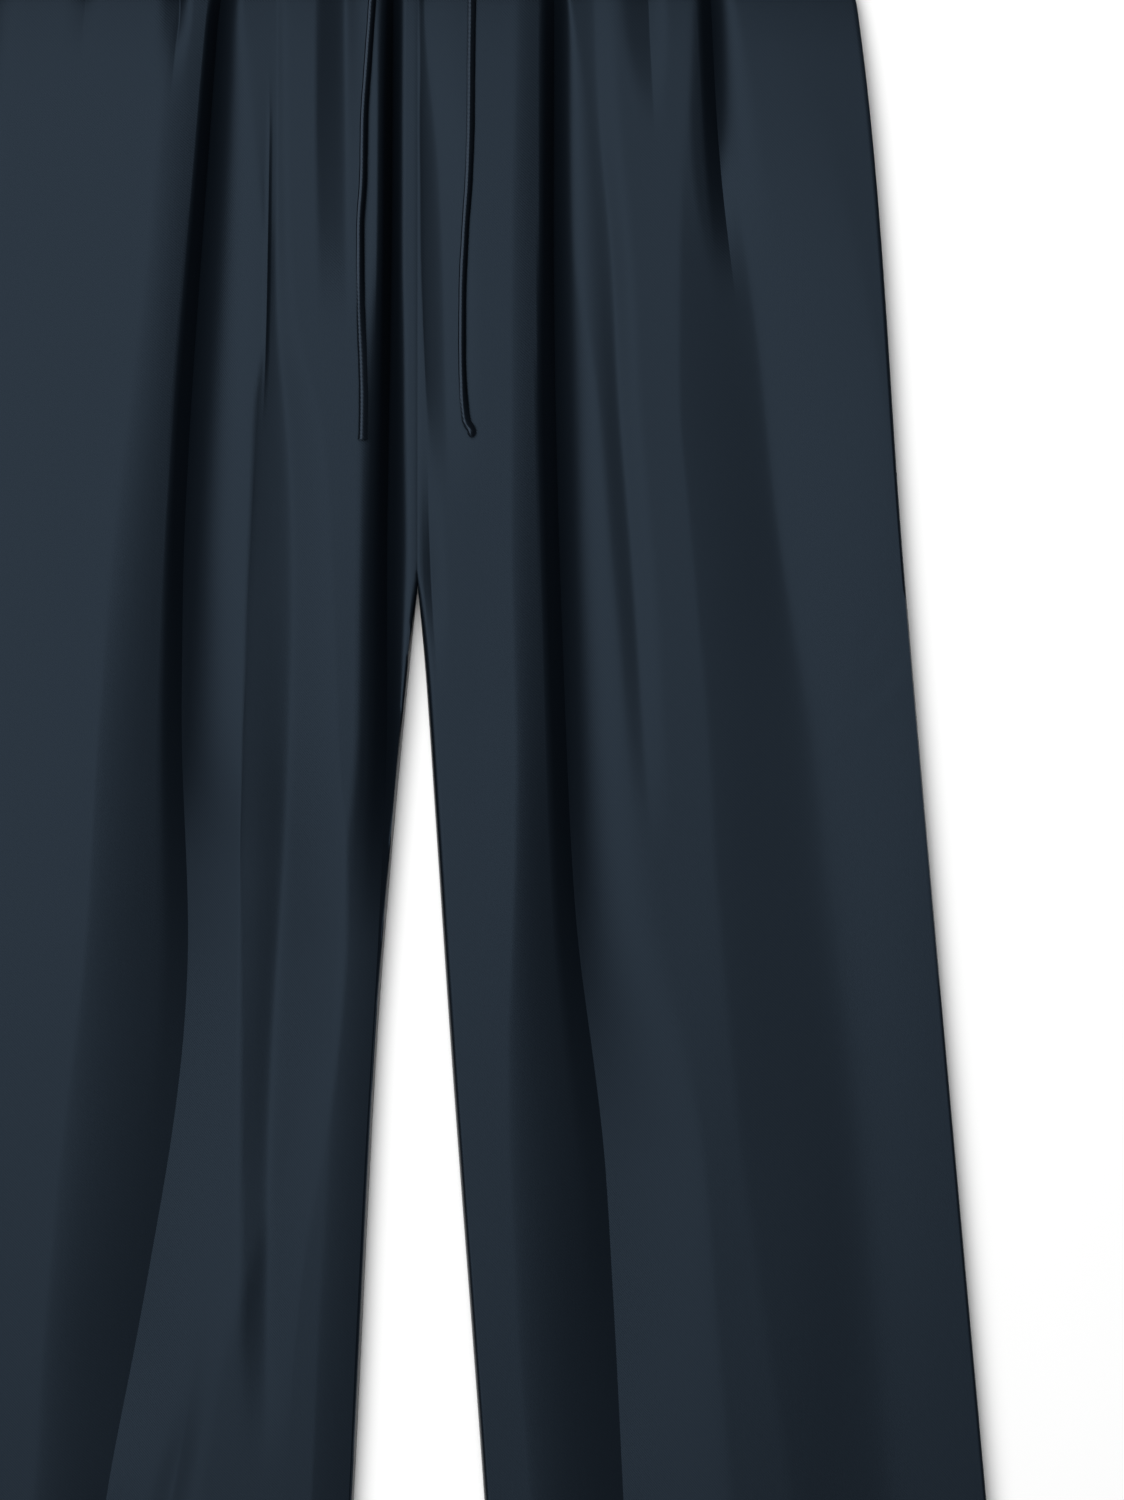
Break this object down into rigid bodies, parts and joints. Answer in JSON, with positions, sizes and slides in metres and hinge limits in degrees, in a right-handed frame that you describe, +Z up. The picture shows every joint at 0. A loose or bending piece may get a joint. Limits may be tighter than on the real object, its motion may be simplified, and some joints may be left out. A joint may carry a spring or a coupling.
{
  "type": "wide-leg trousers",
  "caption": "Wide-leg satin trousers with a gathered elastic waistband and a hanging drawstring, laid flat on their back.",
  "frame": {"origin": "centre of the underside, on the surface that the trousers lie on", "axes": "+X to the right as the front is looked down on, +Y along the legs towards the waist, +Z up off the surface"},
  "size_m": [0.6032, 1.083, 0.0196],
  "materials": {
    "satin": "navy satin with a soft sheen",
    "band_satin": "the same satin, doubled over elastic and gathered",
    "cord_satin": "narrow cord of the same satin"
  },
  "bodies": {
    "root": {"front_left": "satin", "front_right": "satin", "back_left": "satin", "back_right": "satin", "waistband_front": "band_satin", "waistband_back": "band_satin", "drawstring_left": "cord_satin", "drawstring_right": "cord_satin"}
  },
  "joints": []
}
